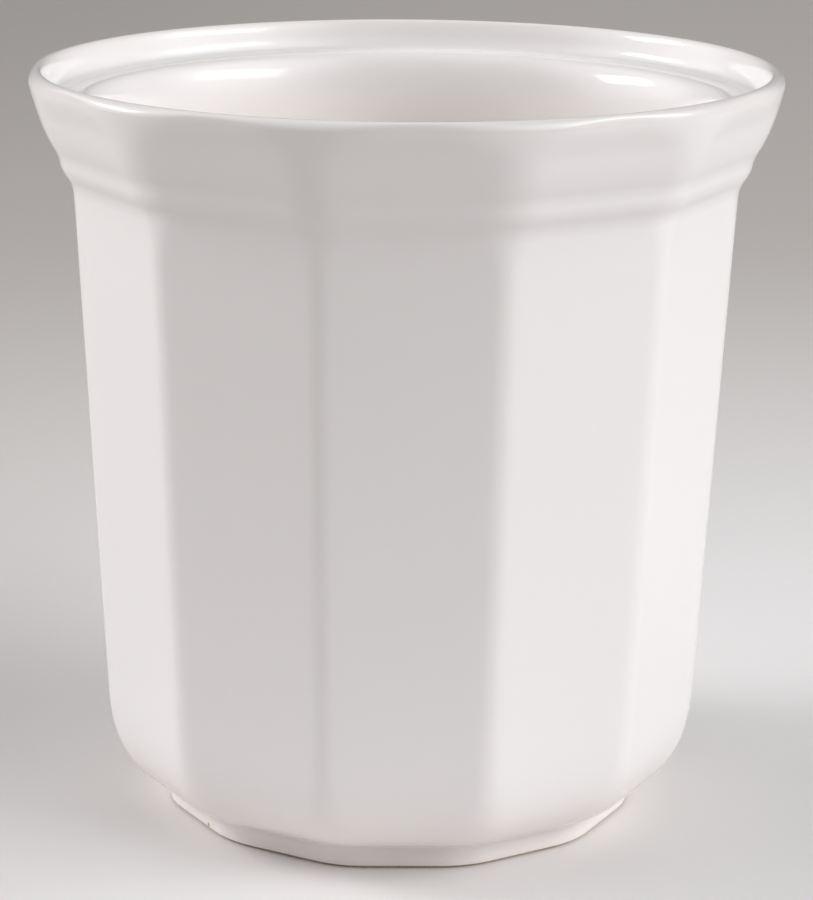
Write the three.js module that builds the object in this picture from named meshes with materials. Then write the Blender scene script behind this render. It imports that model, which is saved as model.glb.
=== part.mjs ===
// A twelve-sided glazed stoneware canister, open at the top, with a moulded collar and a lid ledge.
// Sizes are in millimetres, +Z is up, and the canister stands on z = 0 with its axis on the Z axis.
// Every radius on the outside is measured at a facet edge, and every size is taken over the glaze.

import * as THREE from 'three';
import { mergeGeometries, mergeVertices } from 'three/addons/utils/BufferGeometryUtils.js';

// Overall form
const HEIGHT = 190;
const SIDES = 12;
const EDGE_ROUND = 11; // rounding of the upright edges between facets
const GLAZE = 0.5;

// Lip: a full round that stands out a little over the collar
const LIP_RADIUS = 93.9;
const LIP_ROUND = 2.5;
const LIP_UNDERCUT = THREE.MathUtils.degToRad(20); // how far it turns in below its side

// Collar: two convex mouldings, one above the other, each starting in a groove
const UPPER_GROOVE_DROP = 19.7; // from the top of the lip down to the groove between the mouldings
const LOWER_MOULDING_HEIGHT = 7.2;
const LOWER_MOULDING_STEP = 3.3; // how far it stands out from the body
const COLLAR_LEAN = THREE.MathUtils.degToRad(12); // of the upper moulding, just under the lip

// Body: flat facets, leaning out as they rise
const BODY_RADIUS = 84; // at the top, where the collar starts
const DRAFT = THREE.MathUtils.degToRad(2.95);
const BASE_ROUND_TOP = 32; // height where the rounded base runs into the facets

// Foot ring
const FOOT_RADIUS = 61;
const FOOT_HEIGHT = 6;
const FOOT_WIDTH = 8;
const FOOT_EDGE = 0.8; // rounding of its standing edges
const DRY_BAND = 0.1; // bare clay left above the rounded standing edge
const RECESS_DEPTH = 5;
const RECESS_ROUND = 2.5;

// Inside: round in plan
const WALL = 5; // behind the middle of a facet
const FLOOR = 6.5;
const FLOOR_ROUND = 18;
const RIM_STEP = 2; // from the top of the lip in to the leaning rim behind it
const RIM_DROP = 3.65; // from the top of the lip down to there
const RIM_LEAN = THREE.MathUtils.degToRad(9.3);
const SEAT_STEP = 3.8; // from there in to the level part of the lid ledge
const SEAT_DROP = 7.8; // from the top of the lip down to the ledge
const SEAT_WIDTH = 3.2;
const FLARE_DROP = 24.2; // from the ledge down to where the flare below it has become the plain wall

// How flat-sided the canister is: at 1 its edges have EDGE_ROUND, and towards 0 they grow into a full round
const FOOT_FACETING = 0.72;
const COLLAR_FACETING = 0.83;
const LIP_FACETING = 0.4;
const COLLAR_SOFTENING = 6; // how far below the collar the edges start to grow rounder
const LIP_SOFTENING = 7.5; // how far below the side of the lip they start to do so

// Handles of the curves in the mouth: how far each curve keeps its first and its last direction
const LIP_HANDLE = 0.65;
const RIM_TOP_HANDLE = 3.4;
const RIM_BOTTOM_HANDLE = 3.3;
const SEAT_OUTER_HANDLE = 2.4;
const SEAT_INNER_HANDLE = 4.5;
const FLARE_HANDLE = 13;

// Handles of the other curves, as shares of the curve's span
const MOULDING_OUT = 0.42;
const MOULDING_UP = 0.225;
const MOULDING_UPRIGHT = 0.46;
const BASE_OUT = 0.43;
const BASE_UP = 0.07;
const BASE_UPRIGHT = 0.75;

// Steps of the drawn surfaces
const CURVE_STEPS = 5;
const MOULDING_STEPS = 4;
const LIP_STEPS = 4;
const ROUND_STEPS = 3;
const FLARE_STEPS = 6;

// The points of half a side, as shares of half its angle where the section is round, and as shares of the
// rounded edge, counted from the line where two facets meet, where it is flat-sided
const EVEN_SHARES = [1 / 4, 3 / 4];
const EDGE_SHARES = [1, 1 / 3];

const RING_STEPS = 2 * EVEN_SHARES.length * SIDES;
const HALF_SIDE = Math.PI / SIDES;

// Distance from the axis to the section's outline, at an angle measured from the middle of a facet.
// The section is a regular polygon with corners of a given rounding that reach edgeRadius.
function facetedRadius(edgeRadius, rounding, angle) {
  const fromEdge = HALF_SIDE - Math.abs(angle);
  const cornerCentre = edgeRadius - rounding;
  if (fromEdge < cornerAngle(edgeRadius, rounding)) {
    const across = cornerCentre * Math.sin(fromEdge);
    return cornerCentre * Math.cos(fromEdge) + Math.sqrt(rounding ** 2 - across ** 2);
  }
  return facetDistance(edgeRadius, rounding) / Math.cos(angle);
}

// Half the angle that a rounded corner takes up, seen from the axis.
function cornerAngle(edgeRadius, rounding) {
  const alongEdge = edgeRadius - rounding + rounding * Math.cos(HALF_SIDE);
  return Math.atan2(rounding * Math.sin(HALF_SIDE), alongEdge);
}

// Distance from the axis to the middle of a facet.
function facetDistance(edgeRadius, rounding) {
  return (edgeRadius - rounding) * Math.cos(HALF_SIDE) + rounding;
}

// One ring of points round the axis. A profile point has a radius, a height and a faceting from 0 to 1.
function ring({ radius, height, faceting }) {
  const { lerp } = THREE.MathUtils;
  const rounding = lerp(radius, EDGE_ROUND, faceting);
  const corner = cornerAngle(radius, rounding);
  const halfSide = EVEN_SHARES.map((share, i) => {
    return lerp(share * HALF_SIDE, HALF_SIDE - EDGE_SHARES[i] * corner, faceting);
  });
  const angles = [...halfSide.map((angle) => -angle).reverse(), ...halfSide];
  const positions = [];
  for (let side = 0; side < SIDES; side += 1) {
    const middle = -Math.PI / 2 + 2 * HALF_SIDE * side;
    for (const angle of angles) {
      const reach = facetedRadius(radius, rounding, angle);
      positions.push(reach * Math.cos(middle + angle), reach * Math.sin(middle + angle), height);
    }
  }
  return positions;
}

// The surface that a profile sweeps round the axis, facing right of the profile's direction.
function skin(profile) {
  const index = [];
  for (let row = 0; row + 1 < profile.length; row += 1) {
    for (let step = 0; step < RING_STEPS; step += 1) {
      const a = row * RING_STEPS + step;
      const b = row * RING_STEPS + ((step + 1) % RING_STEPS);
      const c = b + RING_STEPS;
      const d = a + RING_STEPS;
      if (profile[row].radius > 0) index.push(a, b, c);
      if (profile[row + 1].radius > 0) index.push(a, c, d);
    }
  }
  const geometry = new THREE.BufferGeometry();
  geometry.setAttribute('position', new THREE.Float32BufferAttribute(profile.flatMap(ring), 3));
  geometry.setIndex(index);
  return geometry;
}

function turnedOver(geometry) {
  const turned = geometry.clone();
  turned.setIndex(Array.from(geometry.index.array).reverse());
  return turned;
}

function closedBody(...skins) {
  const geometry = mergeVertices(mergeGeometries(skins));
  geometry.computeVertexNormals();
  return geometry;
}

const at = (radius, height) => new THREE.Vector2(radius, height);

// Landmarks on the outside
const lipCentre = at(LIP_RADIUS - LIP_ROUND, HEIGHT - LIP_ROUND);
const upperGroove = at(BODY_RADIUS + LOWER_MOULDING_STEP, HEIGHT - UPPER_GROOVE_DROP);
const lowerGroove = at(BODY_RADIUS, upperGroove.y - LOWER_MOULDING_HEIGHT);
const footTop = at(FOOT_RADIUS, FOOT_HEIGHT);

const innerLean = Math.atan(Math.tan(DRAFT) * Math.cos(HALF_SIDE));
const wallRadius = (height) => BODY_RADIUS - (lowerGroove.y - height) * Math.tan(DRAFT);
const behind = (height) => at(facetDistance(wallRadius(height), EDGE_ROUND) - WALL, height);

// Facets soften towards the foot and the collar, and melt into a plain round over the lip.
function facetingAt(height) {
  const { lerp, smoothstep } = THREE.MathUtils;
  const body = lerp(FOOT_FACETING, 1, smoothstep(height, FOOT_HEIGHT, BASE_ROUND_TOP));
  const inCollar = smoothstep(height, lowerGroove.y - COLLAR_SOFTENING, lowerGroove.y);
  const inLip = smoothstep(height, lipCentre.y - LIP_SOFTENING, lipCentre.y);
  const overLip = Math.max(height - lipCentre.y, 0) / LIP_ROUND;
  return lerp(lerp(body, COLLAR_FACETING, inCollar), LIP_FACETING, inLip) * (1 - overLip ** 2);
}

// The point that lies a length away from another, in a direction that leans out from upright by an angle.
function leaning(from, length, lean) {
  return from.clone().add(at(length * Math.sin(lean), length * Math.cos(lean)));
}

// A convex moulding that leaves its groove at a slant and ends at a lean.
function moulding(bottom, top, lean) {
  const span = top.clone().sub(bottom);
  const leaving = bottom.clone().add(at(MOULDING_OUT * span.x, MOULDING_UP * span.y));
  const upright = leaning(top, -MOULDING_UPRIGHT * span.y, lean);
  return new THREE.CubicBezierCurve(bottom, leaving, upright, top);
}

// The rounded base: nearly level where it leaves the foot, in line with the facets at its top.
function baseRound() {
  const top = at(wallRadius(BASE_ROUND_TOP), BASE_ROUND_TOP);
  const span = top.clone().sub(footTop);
  const leaving = footTop.clone().add(at(BASE_OUT * span.x, BASE_UP * span.y));
  const uprightHeight = top.y - BASE_UPRIGHT * span.y;
  const upright = at(wallRadius(uprightHeight), uprightHeight);
  return new THREE.CubicBezierCurve(footTop, leaving, upright, top);
}

function arc(centre, radius, from, to) {
  return new THREE.EllipseCurve(centre.x, centre.y, radius, radius, from, to, to < from);
}

// The outside, from the glaze line on the foot up to the top of the lip.
function outside() {
  const lip = arc(lipCentre, LIP_ROUND, -LIP_UNDERCUT, Math.PI / 2).getPoints(LIP_STEPS);
  return [
    at(FOOT_RADIUS, FOOT_EDGE + DRY_BAND),
    ...baseRound().getPoints(CURVE_STEPS),
    ...moulding(lowerGroove, upperGroove, 0).getPoints(MOULDING_STEPS),
    ...moulding(upperGroove, lip[0], COLLAR_LEAN).getPoints(CURVE_STEPS).slice(1, -1),
    ...lip,
  ];
}

// From the top of the lip, down past the ledge that a lid would rest on, and across the floor to the axis.
function inside() {
  const lipTop = at(lipCentre.x, HEIGHT);
  const rim = at(lipTop.x - RIM_STEP, HEIGHT - RIM_DROP);
  const seatOuter = at(rim.x - SEAT_STEP, HEIGHT - SEAT_DROP);
  const seatInner = at(seatOuter.x - SEAT_WIDTH, seatOuter.y);
  const wallTop = behind(seatInner.y - FLARE_DROP);
  const lipBack = new THREE.CubicBezierCurve(
    lipTop,
    at(lipTop.x - LIP_HANDLE, lipTop.y),
    leaning(rim, RIM_TOP_HANDLE, RIM_LEAN),
    rim,
  );
  const seatCorner = new THREE.CubicBezierCurve(
    rim,
    leaning(rim, -RIM_BOTTOM_HANDLE, RIM_LEAN),
    at(seatOuter.x + SEAT_OUTER_HANDLE, seatOuter.y),
    seatOuter,
  );
  const flare = new THREE.CubicBezierCurve(
    seatInner,
    at(seatInner.x - SEAT_INNER_HANDLE, seatInner.y),
    leaning(wallTop, FLARE_HANDLE, innerLean),
    wallTop,
  );
  return [
    ...lipBack.getPoints(ROUND_STEPS).slice(1),
    ...seatCorner.getPoints(ROUND_STEPS).slice(1),
    ...flare.getPoints(FLARE_STEPS),
    ...floorRound().getPoints(CURVE_STEPS),
    at(0, RECESS_DEPTH + FLOOR),
  ];
}

// The bend between wall and floor, tangent to both.
function floorRound() {
  const wall = behind(RECESS_DEPTH + FLOOR + FLOOR_ROUND);
  const centre = at(wall.x - FLOOR_ROUND / Math.cos(innerLean), wall.y);
  return arc(centre, FLOOR_ROUND, -innerLean, -Math.PI / 2);
}

// The recess inside the foot ring, from the axis to the ring's inner side.
function underside() {
  const corner = at(FOOT_RADIUS - FOOT_WIDTH - RECESS_ROUND, RECESS_DEPTH - RECESS_ROUND);
  return [
    at(0, RECESS_DEPTH),
    ...arc(corner, RECESS_ROUND, Math.PI / 2, 0).getPoints(ROUND_STEPS),
  ];
}

// The dry clay of the foot ring, between the two glazed stretches that end at these points.
function standingFoot(innerEnd, outerEnd) {
  const inner = at(innerEnd.radius + FOOT_EDGE, FOOT_EDGE);
  const outer = at(outerEnd.radius - FOOT_EDGE, FOOT_EDGE);
  return [
    ...profileOf(arc(inner, FOOT_EDGE, -Math.PI, -Math.PI / 2).getPoints(ROUND_STEPS), () => 0),
    ...profileOf(arc(outer, FOOT_EDGE, -Math.PI / 2, 0).getPoints(ROUND_STEPS), () => FOOT_FACETING),
  ];
}

// Profile points are drawn from the axis at the bottom, out, up and over, with the clay on the left.
function profileOf(points, faceting) {
  return points.map(({ x, y }) => ({ radius: x, height: y, faceting: faceting(y) }));
}

// The same profile moved into the clay by a depth, square to its own line.
function inset(points, depth) {
  const normals = points.slice(1).map((point, i) => {
    const along = at(point.radius - points[i].radius, point.height - points[i].height).normalize();
    return at(-along.y, along.x);
  });
  return points.map((point, i) => {
    const before = normals[Math.max(i - 1, 0)];
    const after = normals[Math.min(i, normals.length - 1)];
    const reach = depth / (1 + before.dot(after));
    return {
      ...point,
      radius: point.radius + reach * (before.x + after.x),
      height: point.height + reach * (before.y + after.y),
    };
  });
}

const coatFace = [...profileOf(outside(), facetingAt), ...profileOf(inside(), () => 0)];
const coatBack = inset(coatFace, GLAZE);
const undersideFace = profileOf(underside(), () => 0);
const undersideBack = inset(undersideFace, GLAZE);
const foot = standingFoot(undersideBack.at(-1), coatBack[0]);

const bareClay = new THREE.MeshStandardMaterial({ color: 0xd2b48f, roughness: 0.85, metalness: 0 });
const whiteGlaze = new THREE.MeshStandardMaterial({ color: 0xf0ece8, roughness: 0.15, metalness: 0 });

const pieces = {
  stoneware_body: [closedBody(skin([...undersideBack, ...foot, ...coatBack])), bareClay],
  glaze_coat: [closedBody(skin([coatBack[0], ...coatFace]), turnedOver(skin(coatBack))), whiteGlaze],
  underside_glaze: [
    closedBody(skin([...undersideFace, undersideBack.at(-1)]), turnedOver(skin(undersideBack))),
    whiteGlaze,
  ],
};

const canister = new THREE.Group();
for (const [name, [geometry, material]] of Object.entries(pieces)) {
  const piece = new THREE.Mesh(geometry, material);
  piece.name = name;
  canister.add(piece);
}

export default canister;
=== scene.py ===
# %% [markdown]
# # A twelve-sided canister in white glazed stoneware
# A potter casts this canister in one piece, dips it in glaze, wipes the foot ring clean and fires it. So
# three pieces have to be made: the clay vessel, the coat of glaze that runs from the foot up over the lip
# and down to the floor, and the patch of glaze in the hollow under the foot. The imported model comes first.
# It says where each piece lies, and its box is kept, because the finer pieces have to fill the same space.

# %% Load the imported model
from collections import namedtuple
from math import atan, atan2, cos, hypot, pi, radians, sin, sqrt, tan

import bmesh
import bpy
from mathutils import Matrix, Vector, noise
from mathutils.geometry import interpolate_bezier


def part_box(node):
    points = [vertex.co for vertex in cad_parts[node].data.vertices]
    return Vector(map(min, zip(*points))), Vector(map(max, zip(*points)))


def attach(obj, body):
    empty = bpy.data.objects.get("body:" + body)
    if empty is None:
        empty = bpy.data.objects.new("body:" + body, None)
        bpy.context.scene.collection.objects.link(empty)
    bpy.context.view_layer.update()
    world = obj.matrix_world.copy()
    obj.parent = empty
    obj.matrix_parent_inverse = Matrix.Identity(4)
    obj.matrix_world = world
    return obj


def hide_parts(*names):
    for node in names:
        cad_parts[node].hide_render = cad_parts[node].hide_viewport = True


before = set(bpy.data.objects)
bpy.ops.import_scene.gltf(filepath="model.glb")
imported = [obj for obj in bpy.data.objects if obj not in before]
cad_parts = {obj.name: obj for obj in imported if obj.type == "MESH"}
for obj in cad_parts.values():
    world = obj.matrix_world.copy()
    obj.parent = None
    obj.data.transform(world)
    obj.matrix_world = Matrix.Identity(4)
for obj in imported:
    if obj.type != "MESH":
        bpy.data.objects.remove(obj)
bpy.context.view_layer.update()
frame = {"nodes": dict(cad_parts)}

MM = 0.001
scene = bpy.context.scene
print("nodes:", ", ".join(frame["nodes"]))

# %% [markdown]
# ## The sizes
# All lengths are in metres, written in millimetres times `MM`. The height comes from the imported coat. The
# outside isn't round, so its radii are measured where two facets meet, and they are taken over the glaze.

# %% Name the sizes
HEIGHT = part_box("glaze_coat")[1].z
SIDES = 12
EDGE_ROUND = 11 * MM
GLAZE = 0.5 * MM

LIP_RADIUS = 93.9 * MM
LIP_ROUND = 2.5 * MM
LIP_UNDERCUT = radians(20)
UPPER_GROOVE_DROP = 19.7 * MM
LOWER_MOULDING_HEIGHT = 7.2 * MM
LOWER_MOULDING_STEP = 3.3 * MM
COLLAR_LEAN = radians(12)

BODY_RADIUS = 84 * MM
DRAFT = radians(2.95)
BASE_ROUND_TOP = 32 * MM

FOOT_RADIUS = 61 * MM
FOOT_HEIGHT = 6 * MM
FOOT_WIDTH = 8 * MM
FOOT_EDGE = 0.8 * MM
DRY_BAND = 0.1 * MM
RECESS_DEPTH = 5 * MM
RECESS_ROUND = 2.5 * MM

WALL = 5 * MM
FLOOR = 6.5 * MM
FLOOR_ROUND = 18 * MM
RIM_STEP = 2 * MM
RIM_DROP = 3.65 * MM
RIM_LEAN = radians(9.3)
SEAT_STEP = 3.8 * MM
SEAT_DROP = 7.8 * MM
SEAT_WIDTH = 3.2 * MM
FLARE_DROP = 24.2 * MM

print(f"height {HEIGHT / MM:.0f} mm, lip {2 * LIP_RADIUS / MM:.0f} mm across")

# %% [markdown]
# ## Drawing an outline
# A vessel is drawn as half of its section: a line that starts low on the outside, climbs over the lip and
# comes down inside. Straight stretches need two points, round ones an arc, and the mouldings a Bezier curve,
# which Blender samples with `interpolate_bezier`. Wet glaze can't hold a sharp inner corner, so `soften`
# cuts both stretches back from the corner and joins them by a short curve.

# %% Helpers that draw one stretch of the outline
FILLET_POINTS = 7


def at(radius, height):
    """A point of the outline, in the plane that is spun round the Z axis."""
    return Vector((radius, 0, height))


def line(start, end, steps):
    return [start.lerp(end, step / steps) for step in range(steps + 1)]


def arc(centre, radius, start, end, steps):
    """Points on a circle, from one angle to another, with 0 away from the axis and a quarter turn up."""
    angles = [start + (end - start) * step / steps for step in range(steps + 1)]
    return [centre + at(radius * cos(angle), radius * sin(angle)) for angle in angles]


def curve(start, leaving, arriving, end, steps):
    return interpolate_bezier(start, leaving, arriving, end, steps + 1)


def cut_back(points, reach):
    """The same stretch, stopped at a given distance from its last point."""
    corner = points[-1]
    kept = [point for point in points if (point - corner).length > reach]
    dropped = points[len(kept)]
    far = (kept[-1] - corner).length
    near = (dropped - corner).length
    return kept + [kept[-1].lerp(dropped, (far - reach) / (far - near))]


def soften(before, after, reach):
    """Two stretches that meet in a corner, joined by a curve that starts this far from the corner."""
    corner = after[0]
    start = cut_back(before, reach)
    end = cut_back(after[::-1], reach)[::-1]
    handles = [point.lerp(corner, 2 / 3) for point in (start[-1], end[0])]
    fillet = interpolate_bezier(start[-1], *handles, end[0], FILLET_POINTS)
    return start + fillet[1:-1] + end


# %% [markdown]
# ## The outside
# From the glaze line on the foot the outside goes up a low foot, turns through a rounded base, climbs a
# wall that leans out, and ends in two convex mouldings and the outer half of the lip. Each moulding leaves
# its groove at a slant and ends upright or at a lean, so both are one function.

# %% Draw the outside
FOOT_CREASE = 3.2 * MM
GROOVE_SOFTNESS = 2.4 * MM
LIP_CREASE = 1 * MM

# How far the curves' handles reach, as shares of the width and the height that a curve spans.
MOULDING_OUT = 0.42
MOULDING_UP = 0.225
MOULDING_END = 0.46
BASE_OUT = 0.43
BASE_UP = 0.07
BASE_END = 0.75

lip_centre = at(LIP_RADIUS - LIP_ROUND, HEIGHT - LIP_ROUND)
upper_groove = at(BODY_RADIUS + LOWER_MOULDING_STEP, HEIGHT - UPPER_GROOVE_DROP)
lower_groove = at(BODY_RADIUS, upper_groove.z - LOWER_MOULDING_HEIGHT)
foot_top = at(FOOT_RADIUS, FOOT_HEIGHT)
glaze_line = at(FOOT_RADIUS, FOOT_EDGE + DRY_BAND)


def wall_at(height):
    """The point of the leaning wall at a height."""
    return at(BODY_RADIUS - (lower_groove.z - height) * tan(DRAFT), height)


def leaning(point, length, lean):
    """The point a length away from another, in a direction that leans out from upright by an angle."""
    return point + at(length * sin(lean), length * cos(lean))


def moulding(bottom, top, lean, steps):
    span = top - bottom
    leaving = bottom + at(MOULDING_OUT * span.x, MOULDING_UP * span.z)
    return curve(bottom, leaving, leaning(top, -MOULDING_END * span.z, lean), top, steps)


def base_round(steps):
    """Nearly level where it leaves the foot, and in line with the wall at its top."""
    top = wall_at(BASE_ROUND_TOP)
    span = top - foot_top
    leaving = foot_top + at(BASE_OUT * span.x, BASE_UP * span.z)
    return curve(foot_top, leaving, wall_at(top.z - BASE_END * span.z), top, steps)


def draw_outside():
    foot = line(glaze_line, foot_top, steps=4)
    wall = line(wall_at(BASE_ROUND_TOP), lower_groove, steps=16)
    lower = moulding(lower_groove, upper_groove, lean=0, steps=12)
    lip = arc(lip_centre, LIP_ROUND, -LIP_UNDERCUT, pi / 2, steps=12)
    upper = moulding(upper_groove, lip[0], COLLAR_LEAN, steps=18)
    points = soften(foot, base_round(steps=16), FOOT_CREASE) + wall[1:]
    points = soften(points, lower, GROOVE_SOFTNESS)
    points = soften(points, upper, GROOVE_SOFTNESS)
    return soften(points, lip, LIP_CREASE)


outside = draw_outside()
print(len(outside), "points up the outside")

# %% [markdown]
# ## The inside
# The inside is round. Behind the lip a rim leans in to a level ledge where a lid would sit. The ledge rolls
# over into a wide flare, which runs into the plain wall. Each of these bends is one Bezier curve, whose two
# handles say how far it keeps its first direction and how early it takes up the next.

# %% Draw the inside
LIP_HANDLE = 0.65 * MM
RIM_TOP_HANDLE = 3.4 * MM
RIM_BOTTOM_HANDLE = 3.3 * MM
SEAT_OUTER_HANDLE = 2.4 * MM
SEAT_INNER_HANDLE = 4.5 * MM
FLARE_HANDLE = 13 * MM

HALF_SIDE = pi / SIDES
INNER_LEAN = atan(tan(DRAFT) * cos(HALF_SIDE))


def facet_distance(edge_radius, rounding):
    """From the axis to the middle of a facet, where its rounded edges reach edge_radius."""
    return (edge_radius - rounding) * cos(HALF_SIDE) + rounding


def behind(height):
    """The point of the inner wall behind the middle of a facet."""
    return at(facet_distance(wall_at(height).x, EDGE_ROUND) - WALL, height)


def draw_mouth():
    lip_top = outside[-1]
    rim = lip_top - at(RIM_STEP, RIM_DROP)
    seat_outer = at(rim.x - SEAT_STEP, HEIGHT - SEAT_DROP)
    seat_inner = seat_outer - at(SEAT_WIDTH, 0)
    wall_top = behind(seat_inner.z - FLARE_DROP)

    down_lip = leaning(rim, RIM_TOP_HANDLE, RIM_LEAN)
    down_rim = leaning(rim, -RIM_BOTTOM_HANDLE, RIM_LEAN)
    down_flare = leaning(wall_top, FLARE_HANDLE, INNER_LEAN)
    lip_back = curve(lip_top, lip_top - at(LIP_HANDLE, 0), down_lip, rim, steps=10)
    seat_corner = curve(rim, down_rim, seat_outer + at(SEAT_OUTER_HANDLE, 0), seat_outer, steps=10)
    seat = line(seat_outer, seat_inner, steps=3)
    flare = curve(seat_inner, seat_inner - at(SEAT_INNER_HANDLE, 0), down_flare, wall_top, steps=18)
    return lip_back[1:] + seat_corner[1:] + seat[1:-1] + flare


def draw_inside():
    mouth = draw_mouth()
    floor_height = RECESS_DEPTH + FLOOR
    wall_foot = behind(floor_height + FLOOR_ROUND)
    bend_centre = wall_foot - at(FLOOR_ROUND / cos(INNER_LEAN), 0)
    bend = arc(bend_centre, FLOOR_ROUND, -INNER_LEAN, -pi / 2, steps=9)
    wall = line(mouth[-1], bend[0], steps=5)
    floor = line(bend[-1], at(0, floor_height), steps=4)
    return mouth + wall[1:-1] + bend + floor[1:]


inside = draw_inside()
print(len(inside), "points down the inside")

# %% [markdown]
# ## Facets that end in a round lip
# The body has twelve flat sides with rounded edges. On the collar and the foot the edges are rounder, and
# over the top of the lip they melt into a plain round. So every point of the outline carries a faceting: at 1
# the edges have their own rounding, and as it falls to 0 the rounding grows, until it is the whole section.
# Each point carries two things for the finish as well. One is a glaze depth: melted glaze runs thin over a
# convex bend and gathers in a hollow, and the darker tone in a hollow is partly painted shade. The other is a
# painted warmth: a cream tone painted where warm bounced light falls, far inside the mouth and low on the
# outside towards the wiped foot.

# %% Give each point of the outline its faceting, glaze depth and painted warmth
OutlinePoint = namedtuple("OutlinePoint", "place faceting depth warmth")
FOOT_FACETING = 0.72
COLLAR_FACETING = 0.83
LIP_FACETING = 0.4
COLLAR_SOFTENING = 6 * MM
LIP_SOFTENING = 7.5 * MM
SHARPEST_BEND = 450.0
# Where the painted warm light begins and where it is full, inside the mouth and low on the outside.
COLD_INSIDE = 14 * MM
WARM_INSIDE = 34 * MM
WARM_BASE = 4 * MM
COLD_BASE = 26 * MM


def blend(start, end, share):
    return start + (end - start) * share


def smoothstep(value, low, high):
    share = min(max((value - low) / (high - low), 0), 1)
    return share * share * (3 - 2 * share)


def faceting_at(height):
    body = blend(FOOT_FACETING, 1, smoothstep(height, FOOT_HEIGHT, BASE_ROUND_TOP))
    in_collar = smoothstep(height, lower_groove.z - COLLAR_SOFTENING, lower_groove.z)
    in_lip = smoothstep(height, lip_centre.z - LIP_SOFTENING, lip_centre.z)
    over_lip = max(height - lip_centre.z, 0) / LIP_ROUND
    return blend(blend(body, COLLAR_FACETING, in_collar), LIP_FACETING, in_lip) * (1 - over_lip ** 2)


def bend_at(before, point, after):
    """How fast the outline turns at a point, in radians a metre. A convex bend is positive."""
    first = point - before
    second = after - point
    turn = atan2(first.x * second.z - first.z * second.x, first.dot(second))
    return 2 * turn / (first.length + second.length)


def outline_of(places, facetings, painted_warmths):
    """The points of an outline, with a glaze depth of 0.5 on plain stretches."""
    outline = []
    for i, (place, faceting, warmth) in enumerate(zip(places, facetings, painted_warmths)):
        depth = 0.5
        if 0 < i < len(places) - 1:
            bend = bend_at(places[i - 1], place, places[i + 1])
            depth = min(max(0.5 - 0.5 * bend / SHARPEST_BEND, 0), 1)
        outline.append(OutlinePoint(place, faceting, depth, warmth))
    return outline


coat_facetings = [faceting_at(place.z) for place in outside] + [0] * len(inside)
# Painted warmth: warm bounced light painted low on the outside and far inside the mouth.
coat_painted_warmths = [smoothstep(place.z, COLD_BASE, WARM_BASE) for place in outside]
coat_painted_warmths += [smoothstep(HEIGHT - place.z, COLD_INSIDE, WARM_INSIDE) for place in inside]
coat_face = outline_of(outside + inside, coat_facetings, coat_painted_warmths)
depths = [point.depth for point in coat_face]
print(f"glaze depth from {min(depths):.2f} to {max(depths):.2f}")

# %% [markdown]
# ## The back of the glaze
# The glaze has an even thickness, so its back is the same outline moved into the clay, square to itself.
# The clay then takes that line as its own surface, and the two pieces fit without a gap.

# %% Move an outline into the clay
def inset(outline, depth):
    places = [point.place for point in outline]
    normals = []
    for before, after in zip(places, places[1:]):
        along = (after - before).normalized()
        normals.append(Vector((-along.z, 0, along.x)))
    moved = []
    for i, point in enumerate(outline):
        first = normals[max(i - 1, 0)]
        second = normals[min(i, len(normals) - 1)]
        move = (first + second) * depth / (1 + first.dot(second))
        moved.append(point._replace(place=point.place + move))
    return moved


def on_axis(outline):
    """The outline with its last point set back on the axis, level with where the inset put it."""
    last = outline[-1]
    return outline[:-1] + [last._replace(place=at(0, last.place.z))]


coat_back = on_axis(inset(coat_face, GLAZE))
print(f"the back of the coat is {GLAZE / MM} mm behind its face")

# %% [markdown]
# ## Spin the outline and press the facets
# `bmesh.ops.spin` turns a wire into a surface, the way a lathe would. A full turn needs `use_merge`, and the
# points on the axis become one after `remove_doubles`. Facets could be cut with planes, but then each edge
# would need a bevel that fades out. Moving every point to the outline of a rounded polygon is simpler: the
# share of the steps that belongs to a rounded edge is drawn together there, so the edge stays smooth.
# A hand-finished cast is never quite flat, so a very low ripple goes into the facets, and it never dries
# quite level, so the rim stands half a millimetre higher on one side.

# %% Helpers that turn an outline into a piece
STEPS_PER_SIDE = 24
CORNER_SHARE = 5 / 12
RIPPLE = 0.1 * MM
RIPPLE_LENGTH = 34 * MM
RIM_TILT = 0.005
MERGE = 0.001 * MM


def corner_angle(edge_radius, rounding):
    """Half the angle that a rounded edge takes up, seen from the axis."""
    return atan2(rounding * sin(HALF_SIDE), edge_radius - rounding + rounding * cos(HALF_SIDE))


def faceted_radius(edge_radius, rounding, angle):
    """From the axis to the outline of the rounded polygon, at an angle from the middle of a facet."""
    from_edge = HALF_SIDE - abs(angle)
    centre = edge_radius - rounding
    if from_edge < corner_angle(edge_radius, rounding):
        return centre * cos(from_edge) + sqrt(rounding ** 2 - (centre * sin(from_edge)) ** 2)
    return facet_distance(edge_radius, rounding) / cos(angle)


def drawn_to_edge(share, corner):
    """The angle of a step across half a facet, with at least CORNER_SHARE of the steps on the edge."""
    edge_share = max(CORNER_SHARE, corner / HALF_SIDE)
    if share < 1 - edge_share:
        return (HALF_SIDE - corner) * share / (1 - edge_share)
    return HALF_SIDE - corner * (1 - share) / edge_share


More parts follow.
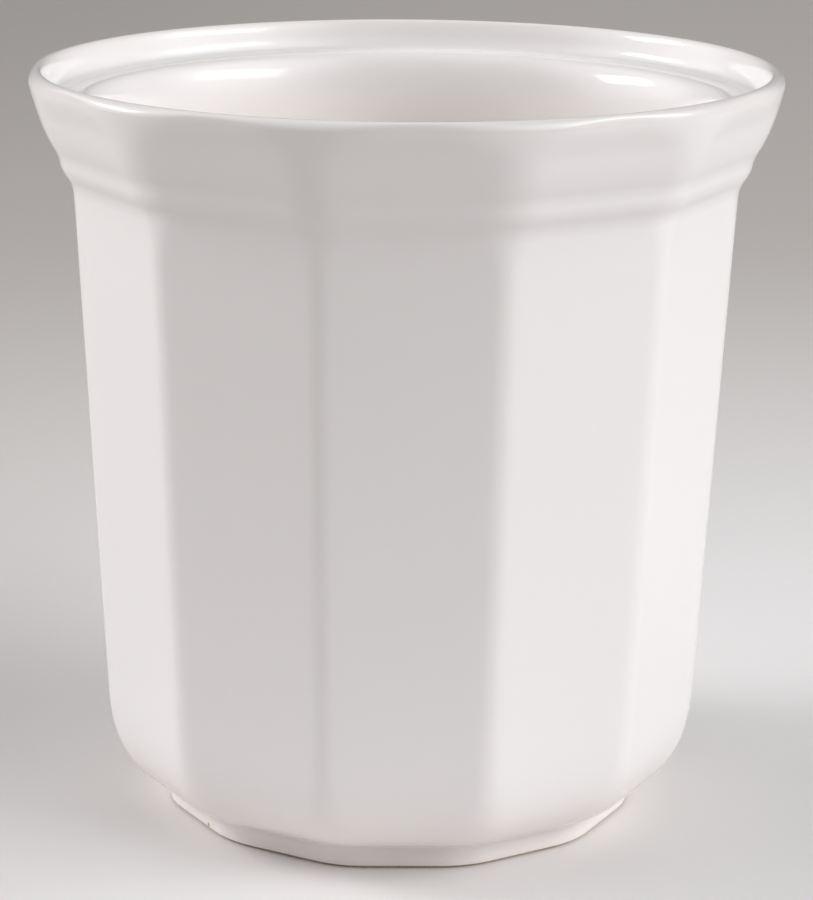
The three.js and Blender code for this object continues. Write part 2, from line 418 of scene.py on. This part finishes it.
def press_facets(bm):
    """Move every point of a spun surface to its place on the facets."""
    pressed = bm.verts.layers.float["faceting"]
    glaze_depth = bm.verts.layers.float["glaze_depth"]
    for vert in bm.verts:
        faceting = vert[pressed]
        if faceting == 0:
            continue
        radius = hypot(vert.co.x, vert.co.y)
        rounding = blend(radius, EDGE_ROUND, faceting)
        corner = corner_angle(radius, rounding)
        turned = atan2(vert.co.y, vert.co.x)
        middle = round(turned / (2 * HALF_SIDE)) * 2 * HALF_SIDE
        side = 1 if turned > middle else -1
        share = min(abs(turned - middle) / HALF_SIDE, 1)
        angle = side * drawn_to_edge(share, corner)
        reach = faceted_radius(radius, rounding, angle)
        reach += faceting * RIPPLE * noise.noise(vert.co / RIPPLE_LENGTH)
        vert.co.x = reach * cos(middle + angle)
        vert.co.y = reach * sin(middle + angle)
        on_edge = max(0, 1 - (HALF_SIDE - abs(angle)) / corner)
        vert[glaze_depth] -= on_edge * EDGE_ROUND / rounding * vert[glaze_depth] / 2


def tilt_rim(bm):
    """Lift the upper half a little on one side, the more the nearer to the rim."""
    for vert in bm.verts:
        vert.co.z += RIM_TILT * vert.co.x * smoothstep(vert.co.z, HEIGHT / 2, HEIGHT)


def turn(name, outline, closed):
    """Spin an outline into a named piece, pressed into facets where its points say so."""
    bm = bmesh.new()
    pressed = bm.verts.layers.float.new("faceting")
    glaze_depth = bm.verts.layers.float.new("glaze_depth")
    # The painted warmth goes with the points as an attribute that the glaze reads.
    painted_warm_light = bm.verts.layers.float.new("painted_warm_light")
    verts = []
    for point in outline:
        vert = bm.verts.new(point.place)
        vert[pressed] = point.faceting
        vert[glaze_depth] = point.depth
        vert[painted_warm_light] = point.warmth
        verts.append(vert)
    edges = [bm.edges.new(pair) for pair in zip(verts, verts[1:])]
    if closed:
        edges.append(bm.edges.new((verts[-1], verts[0])))
    bmesh.ops.spin(
        bm, geom=verts + edges, cent=(0, 0, 0), axis=(0, 0, 1), angle=2 * pi,
        steps=SIDES * STEPS_PER_SIDE, use_merge=True,
    )
    bmesh.ops.remove_doubles(bm, verts=bm.verts, dist=MERGE)
    press_facets(bm)
    tilt_rim(bm)
    bmesh.ops.recalc_face_normals(bm, faces=bm.faces)
    for face in bm.faces:
        face.smooth = True
    mesh = bpy.data.meshes.new(name)
    bm.to_mesh(mesh)
    bm.free()
    piece = bpy.data.objects.new(name, mesh)
    scene.collection.objects.link(piece)
    print(f"{name}: {len(mesh.polygons)} faces")
    return piece


# %% [markdown]
# ## The glaze coat
# The coat is a closed shell: up the face, then back along the clay. Its lower end on the foot is a small
# rounded bead, as where melted glaze stops at a wiped edge.

# %% Make the glaze coat
BEAD_STEPS = 6


def bead(back_end, face_end):
    """The rounded end of a coat, from its back to its face, as points that bulge below it."""
    centre = (back_end.place + face_end.place) / 2
    half = (face_end.place - back_end.place) / 2
    below = Vector((half.z, 0, -half.x))
    if below.z > 0:
        below.negate()
    points = []
    for step in range(1, BEAD_STEPS):
        angle = pi * step / BEAD_STEPS
        points.append(face_end._replace(place=centre - half * cos(angle) + below * sin(angle)))
    return points


coat = turn("glaze_skin", [*bead(coat_back[0], coat_face[0]), *coat_face, *coat_back[::-1]], True)

# %% [markdown]
# ## The glaze under the foot
# The hollow under the vessel is glazed as well. Its patch is flat, with a rounded rim that runs a little way
# down the inner side of the foot ring, and it is made in the same way.

# %% Make the patch under the foot
recess_corner = at(FOOT_RADIUS - FOOT_WIDTH - RECESS_ROUND, RECESS_DEPTH - RECESS_ROUND)
recess = line(at(0, RECESS_DEPTH), recess_corner + at(0, RECESS_ROUND), steps=4)[:-1]
recess += arc(recess_corner, RECESS_ROUND, pi / 2, 0, steps=8)
# The patch under the foot is painted warm all over.
patch_face = outline_of(recess, [0] * len(recess), [1] * len(recess))
patch_back = on_axis(inset(patch_face, GLAZE)[::-1])[::-1]
patch_end = bead(patch_back[-1], patch_face[-1])[::-1]
patch = turn("recess_glaze", [*patch_face, *patch_end, *patch_back[::-1]], True)

# %% [markdown]
# ## The clay
# The clay fills the space behind both glazes. Only its foot ring shows, wiped bare so that it didn't stick
# to the kiln shelf. The ring's standing face is flat, with small rounded edges.

# %% Make the clay vessel
FOOT_STEPS = 6


def draw_foot(inner_end, outer_end):
    inner = arc(at(inner_end.x + FOOT_EDGE, FOOT_EDGE), FOOT_EDGE, pi, 3 * pi / 2, FOOT_STEPS)
    outer = arc(at(outer_end.x - FOOT_EDGE, FOOT_EDGE), FOOT_EDGE, -pi / 2, 0, FOOT_STEPS)
    facetings = [0] * len(inner) + [FOOT_FACETING] * len(outer)
    return outline_of(inner + outer, facetings, [1] * len(facetings))


foot = draw_foot(patch_back[-1].place, coat_back[0].place)
clay = turn("clay_vessel", [*patch_back, *foot, *coat_back], False)

# %% [markdown]
# ## Effects that several finishes share
# Fired clay and glaze both carry small dark specks, and both have a fine uneven surface. Each of these is a
# node group with its own inputs, so that a finish sets how large, how many and how deep. A group puts out
# masks and heights only, and the shader stays in the material.

# %% Helpers that build a shader
def add_node(tree, kind, inputs=None, **settings):
    """A shader node, with its settings and the values or links of its inputs."""
    node = tree.nodes.new(kind)
    for name, value in settings.items():
        setattr(node, name, value)
    for name, value in (inputs or {}).items():
        if isinstance(value, bpy.types.NodeSocket):
            tree.links.new(value, node.inputs[name])
        else:
            node.inputs[name].default_value = value
    return node


def new_group(name, inputs, output):
    """An empty node group with named inputs and one value as output."""
    group = bpy.data.node_groups.new(name, "ShaderNodeTree")
    for socket, kind in inputs.items():
        group.interface.new_socket(socket, in_out="INPUT", socket_type=kind)
    group.interface.new_socket(output, in_out="OUTPUT", socket_type="NodeSocketFloat")
    return group, add_node(group, "NodeGroupInput").outputs, add_node(group, "NodeGroupOutput").inputs


def ramp(tree, value, low, high, start=0.0, end=1.0):
    """A value stretched from low and high to start and end, smoothly."""
    inputs = {"Value": value, "From Min": low, "From Max": high, "To Min": start, "To Max": end}
    node = add_node(tree, "ShaderNodeMapRange", inputs, interpolation_type="SMOOTHSTEP")
    return node.outputs["Result"]


def mix_colour(tree, share, first, second):
    node = add_node(tree, "ShaderNodeMix", {"Factor": share}, data_type="RGBA")
    for socket, value in ((node.inputs[6], first), (node.inputs[7], second)):
        if isinstance(value, bpy.types.NodeSocket):
            tree.links.new(value, socket)
        else:
            socket.default_value = value
    return node.outputs[2]


def calculate(tree, operation, first, second):
    node = add_node(tree, "ShaderNodeMath", {0: first, 1: second}, operation=operation)
    return node.outputs["Value"]


# %% Build the group of kiln specks
def build_specks():
    """Round specks, scattered one to a cell in a share of the cells."""
    inputs = {
        "Position": "NodeSocketVector",
        "Cells per metre": "NodeSocketFloat",
        "Share": "NodeSocketFloat",
        "Size": "NodeSocketFloat",
    }
    group, given, result = new_group("kiln_specks", inputs, "Mask")
    cells = add_node(
        group, "ShaderNodeTexVoronoi",
        {"Vector": given["Position"], "Scale": given["Cells per metre"], "Randomness": 1.0},
        voronoi_dimensions="3D", feature="F1",
    )
    chosen = calculate(group, "LESS_THAN", add_node(
        group, "ShaderNodeSeparateColor", {"Color": cells.outputs["Color"]}).outputs["Red"], given["Share"])
    edge = calculate(group, "MULTIPLY", given["Size"], 0.5)
    spot = ramp(group, cells.outputs["Distance"], edge, given["Size"], 1.0, 0.0)
    group.links.new(calculate(group, "MULTIPLY", chosen, spot), result["Mask"])
    return group


kiln_specks = build_specks()
print("group", kiln_specks.name)


# %% Build the group of fine unevenness
def build_unevenness():
    """A soft height from 0 to 1: broad swells with a finer grain on them."""
    inputs = {
        "Position": "NodeSocketVector",
        "Swells per metre": "NodeSocketFloat",
        "Grain per metre": "NodeSocketFloat",
        "Grain share": "NodeSocketFloat",
    }
    group, given, result = new_group("fine_unevenness", inputs, "Height")
    swells = add_node(group, "ShaderNodeTexNoise", {
        "Vector": given["Position"], "Scale": given["Swells per metre"], "Detail": 2.0})
    grain = add_node(group, "ShaderNodeTexNoise", {
        "Vector": given["Position"], "Scale": given["Grain per metre"], "Detail": 3.0})
    both = add_node(group, "ShaderNodeMix", {
        "Factor": given["Grain share"],
        2: swells.outputs["Fac"],
        3: grain.outputs["Fac"],
    }, data_type="FLOAT")
    group.links.new(both.outputs[0], result["Height"])
    return group


fine_unevenness = build_unevenness()
print("group", fine_unevenness.name)

# %% [markdown]
# ## The white glaze
# The glaze is a warm white glass over pale clay. Up close it has a slightly uneven skin, a few pinholes and
# iron specks, a cooler and deeper tone where it gathers, which is partly painted shade, a warmer one where it
# runs thin over an edge, and a cream tone of painted warm light where the outline carries painted warmth.
# On the foot one small spot stayed bare. The two places with glaze share this function, and the patch under
# the foot, which lay close to the kiln shelf, gets more specks and a duller skin.

# %% Mix the white glaze
WHITE = (0.935, 0.905, 0.892, 1)
# The cream tone is painted warm light.
PAINTED_WARM_WHITE = (0.935, 0.88, 0.842, 1)
THIN_WHITE = (0.90, 0.85, 0.82, 1)
# The darker white of hollows is partly glaze that gathers and partly painted shade.
DEEP_SHADED_WHITE = (0.90, 0.877, 0.868, 1)
SPECK_BROWN = (0.30, 0.25, 0.21, 1)
BARE_CLAY = (0.56, 0.37, 0.22, 1)
BARE_SPOT = (-48.6 * MM, -35.0 * MM, 1.3 * MM)
BARE_SPOT_SIZE = 0.8 * MM
BARE_ROUGHNESS = 0.6
THIN_BELOW = 0.42
THIN_STRENGTH = 0.5
DEEP_ABOVE = 0.58
SPECK_STRENGTH = 0.6
GLOSS_SPREAD = 0.05


def place_group(tree, group, inputs):
    return add_node(tree, "ShaderNodeGroup", inputs, node_tree=group)


def new_material(name):
    """A material with an empty tree and a shader, and the place on the piece that its patterns follow."""
    material = bpy.data.materials.new(name)
    material.use_nodes = True
    tree = material.node_tree
    shader = tree.nodes["Principled BSDF"]
    place = add_node(tree, "ShaderNodeTexCoord").outputs["Object"]
    return material, tree, shader, place


def white_glaze(name, speck_share, dullness):
    material, tree, shader, place = new_material(name)
    depth = add_node(tree, "ShaderNodeAttribute", attribute_name="glaze_depth").outputs["Fac"]
    warmth = add_node(tree, "ShaderNodeAttribute", attribute_name="painted_warm_light").outputs["Fac"]
    skin = place_group(tree, fine_unevenness, {
        "Position": place, "Swells per metre": 70.0, "Grain per metre": 420.0, "Grain share": 0.25})
    specks = place_group(tree, kiln_specks, {
        "Position": place, "Cells per metre": 60.0, "Share": speck_share, "Size": 0.025})
    spot = add_node(tree, "ShaderNodeVectorMath", {0: place, 1: BARE_SPOT}, operation="DISTANCE")
    bare = ramp(tree, spot.outputs["Value"], BARE_SPOT_SIZE / 2, BARE_SPOT_SIZE, 1.0, 0.0)

    thin = calculate(tree, "MULTIPLY", ramp(tree, depth, THIN_BELOW, 0.0), THIN_STRENGTH)
    # Darker in hollows where the glaze gathers, and partly painted shade there.
    deep_and_shade = ramp(tree, depth, DEEP_ABOVE, 1.0)
    brown = calculate(tree, "MULTIPLY", specks.outputs["Mask"], SPECK_STRENGTH)
    # Painted warm light: the white turns cream where the painted warmth is high.
    colour = mix_colour(tree, warmth, WHITE, PAINTED_WARM_WHITE)
    colour = mix_colour(tree, thin, colour, THIN_WHITE)
    colour = mix_colour(tree, deep_and_shade, colour, DEEP_SHADED_WHITE)
    colour = mix_colour(tree, brown, colour, SPECK_BROWN)
    colour = mix_colour(tree, bare, colour, BARE_CLAY)
    tree.links.new(colour, shader.inputs["Base Color"])

    skin_rough = ramp(tree, skin.outputs["Height"], 0.3, 0.7, dullness, dullness + GLOSS_SPREAD)
    bare_rough = calculate(tree, "MULTIPLY", bare, BARE_ROUGHNESS)
    rough = calculate(tree, "ADD", skin_rough, bare_rough)
    tree.links.new(rough, shader.inputs["Roughness"])

    dents = calculate(tree, "ADD", specks.outputs["Mask"], bare)
    height = calculate(tree, "SUBTRACT", skin.outputs["Height"], dents)
    bump = add_node(tree, "ShaderNodeBump", {"Strength": 0.25, "Distance": 0.06 * MM, "Height": height})
    tree.links.new(bump.outputs["Normal"], shader.inputs["Normal"])
    return material


coat.data.materials.append(white_glaze("glossy_white_glaze", speck_share=0.05, dullness=0.09))
patch.data.materials.append(white_glaze("recess_white_glaze", speck_share=0.16, dullness=0.2))
print("white glaze on", coat.name, "and", patch.name)

# %% [markdown]
# ## The bare clay
# Where it shows, on the foot ring, the stoneware is buff and matt, sandy to the touch, with dark and light
# grains and a warmer flush where the glaze ends.

# %% Mix the bare stoneware
CLAY_PALE = (0.66, 0.52, 0.37, 1)
CLAY_WARM = (0.52, 0.37, 0.24, 1)
GRAIN_DARK = (0.20, 0.14, 0.10, 1)


def bare_stoneware():
    material, tree, shader, place = new_material("bare_stoneware")
    sand = place_group(tree, fine_unevenness, {
        "Position": place, "Swells per metre": 140.0, "Grain per metre": 2600.0, "Grain share": 0.6})
    grains = place_group(tree, kiln_specks, {
        "Position": place, "Cells per metre": 900.0, "Share": 0.12, "Size": 0.35})
    colour = mix_colour(tree, ramp(tree, sand.outputs["Height"], 0.3, 0.7), CLAY_WARM, CLAY_PALE)
    colour = mix_colour(tree, grains.outputs["Mask"], colour, GRAIN_DARK)
    tree.links.new(colour, shader.inputs["Base Color"])
    rough = ramp(tree, sand.outputs["Height"], 0.2, 0.8, 0.78, 0.95)
    tree.links.new(rough, shader.inputs["Roughness"])
    bump = add_node(tree, "ShaderNodeBump", {
        "Strength": 0.8, "Distance": 0.2 * MM, "Height": sand.outputs["Height"]})
    tree.links.new(bump.outputs["Normal"], shader.inputs["Normal"])
    return material


clay.data.materials.append(bare_stoneware())
print("bare stoneware on", clay.name)

# %% [markdown]
# ## Join the pieces to the imported model
# Nothing on the canister moves, so all pieces ride on the one body. Each takes the place of its CAD node.

# %% Ride and replace
for piece, node, finish in (
    (clay, "stoneware_body", "bare_stoneware"),
    (coat, "glaze_coat", "white_glaze"),
    (patch, "underside_glaze", "white_glaze"),
):
    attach(piece, "root")
    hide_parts(node)
    print(piece.name, "stands for", node)

# %% [markdown]
# ## The studio
# The canister stands on a wide pale table top. Its colour holds painted light: it darkens with the distance
# from a painted pool of light, which lies to the right, and a painted shade darkens it once more towards the
# left.

# %% Lay the floor
FLOOR_RADIUS = 6.0
FLOOR_SIDES = 96
# The painted pool of light and the painted shade of the floor.
FLOOR_POOL = (0.17, -0.03, 0)
FLOOR_NEAR = (0.885, 0.865, 0.858, 1)
FLOOR_FAR = (0.55, 0.515, 0.488, 1)
FLOOR_SHADE = (0.30, 0.28, 0.265, 1)
POOL_RADIUS = 0.85
SHADE_START = 0.25
SHADE_END = -0.45
SHADE_STRENGTH = 0.3


def lay_floor():
    bm = bmesh.new()
    bmesh.ops.create_circle(bm, cap_ends=True, radius=FLOOR_RADIUS, segments=FLOOR_SIDES)
    bmesh.ops.recalc_face_normals(bm, faces=bm.faces)
    mesh = bpy.data.meshes.new("studio_floor")
    bm.to_mesh(mesh)
    bm.free()
    floor = bpy.data.objects.new("studio_floor", mesh)
    scene.collection.objects.link(floor)
    material, tree, shader, place = new_material("pale_paper")
    # Painted pool of light, then painted shade towards the left.
    away = add_node(tree, "ShaderNodeVectorMath", {0: place, 1: FLOOR_POOL}, operation="DISTANCE")
    colour = mix_colour(tree, ramp(tree, away.outputs["Value"], 0, POOL_RADIUS), FLOOR_NEAR, FLOOR_FAR)
    across = add_node(tree, "ShaderNodeSeparateXYZ", {"Vector": place}).outputs["X"]
    shade = ramp(tree, across, SHADE_START, SHADE_END, 0, SHADE_STRENGTH)
    colour = mix_colour(tree, shade, colour, FLOOR_SHADE)
    tree.links.new(colour, shader.inputs["Base Color"])
    shader.inputs["Roughness"].default_value = 0.9
    shader.inputs["Specular IOR Level"].default_value = 0.1
    mesh.materials.append(material)
    return floor


print("floor", lay_floor().name)

# %% [markdown]
# ## The lamps
# Most of the light is very soft: two broad glows, left and right of the canister, which are part of the world
# and fade out into a dim grey all round. Two softboxes in front of them make the streaks on the lip and in
# the mouth. The right one is wide and mild, the left one small and bright.

# %% Set the lamps
AIM = Vector((0, 0, HEIGHT / 2))
LAMP_TONE = (0.98, 0.985, 1)
FILL = (0.07, 0.07, 0.07, 1)
RIGHT_GLOW = (2.56, 2.58, 2.62, 1)
LEFT_GLOW = (2.2, 2.2, 2.24, 1)
GLOW_EDGE = cos(radians(42))
GLOW_MIDDLE = cos(radians(5))


def direction_to(azimuth, elevation):
    """The direction from the canister. Azimuth 0 is towards the camera and 90 to its right, in degrees."""
    turn_angle = radians(azimuth)
    tilt = radians(elevation)
    return Vector((sin(turn_angle) * cos(tilt), -cos(turn_angle) * cos(tilt), sin(tilt)))


def softbox(name, azimuth, elevation, distance, width, height, power):
    """A rectangular lamp that faces the canister."""
    data = bpy.data.lights.new(name, "AREA")
    data.shape = "RECTANGLE"
    data.size = width
    data.size_y = height
    data.energy = power
    data.color = LAMP_TONE
    lamp = bpy.data.objects.new(name, data)
    scene.collection.objects.link(lamp)
    away = direction_to(azimuth, elevation)
    facing = away.to_track_quat("Z", "Y").to_matrix().to_4x4()
    lamp.matrix_world = Matrix.Translation(AIM + away * distance) @ facing


def add_glow(tree, colour, glow_colour, azimuth, elevation):
    """The colour of the world, with a glow that fades out all round one direction."""
    looking = add_node(tree, "ShaderNodeTexCoord").outputs["Generated"]
    towards = direction_to(azimuth, elevation)
    facing = add_node(tree, "ShaderNodeVectorMath", {0: looking, 1: towards}, operation="DOT_PRODUCT")
    share = ramp(tree, facing.outputs["Value"], GLOW_EDGE, GLOW_MIDDLE)
    return mix_colour(tree, share, colour, glow_colour)


softbox("right_softbox", azimuth=70.6, elevation=29, distance=2, width=1.3, height=0.5, power=9)
softbox("left_softbox", azimuth=-101, elevation=29, distance=1.2, width=0.47, height=0.23, power=5.2)

world = bpy.data.worlds.new("studio")
world.use_nodes = True
scene.world = world
tree = world.node_tree
colour = add_glow(tree, FILL, RIGHT_GLOW, azimuth=67, elevation=34)
colour = add_glow(tree, colour, LEFT_GLOW, azimuth=-98, elevation=26)
tree.links.new(colour, tree.nodes["Background"].inputs["Color"])
print("two softboxes and two glows")

# %% [markdown]
# ## The camera
# The photograph was taken from a little above the rim with a long lens, almost square to one facet. The
# place, the downward tilt and the slight roll come from matching the rim, the foot and the facet edges.

# %% Place the camera
CAMERA_PLACE = Vector((-17.3, -737.6, 291.7)) * MM
CAMERA_TURN = -0.025
CAMERA_TILT = 0.2661
CAMERA_ROLL = 0.0123
LENS = 118.72

camera_data = bpy.data.cameras.new("camera")
camera_data.lens = LENS
camera_data.sensor_width = 36
camera = bpy.data.objects.new("camera", camera_data)
scene.collection.objects.link(camera)
camera.matrix_world = (
    Matrix.Translation(CAMERA_PLACE)
    @ Matrix.Rotation(CAMERA_TURN, 4, "Z")
    @ Matrix.Rotation(pi / 2 - CAMERA_TILT, 4, "X")
    @ Matrix.Rotation(CAMERA_ROLL, 4, "Z")
)
scene.camera = camera
scene.view_settings.view_transform = "Standard"
print(f"camera {CAMERA_PLACE.length:.2f} m away, lens {LENS} mm")
